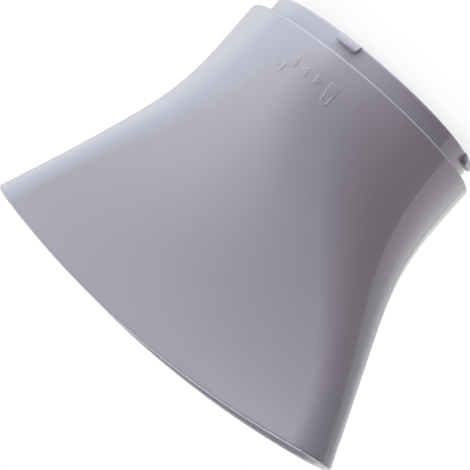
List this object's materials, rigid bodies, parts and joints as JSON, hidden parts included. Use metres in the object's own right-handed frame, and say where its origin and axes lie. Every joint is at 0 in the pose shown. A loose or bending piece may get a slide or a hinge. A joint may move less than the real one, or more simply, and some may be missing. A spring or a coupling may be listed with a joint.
{
  "type": "hair dryer concentrator nozzle",
  "caption": "One-piece gloss plastic air nozzle for a hair dryer: a round collar with a lugged locking ring flares and flattens into a wide, thin slot with a bowed edge.",
  "frame": {"origin": "centre of the inlet rim, on the plane of the rim it stands on", "axes": "+Z from the inlet rim up to the slot mouth; X along the slot's width; the front with the relief signs faces -Y"},
  "size_m": [0.0978, 0.061, 0.075],
  "materials": {
    "shell": "smooth gloss moulding in pale lilac grey"
  },
  "bodies": {
    "root": {"nozzle_body": "shell"}
  },
  "joints": []
}
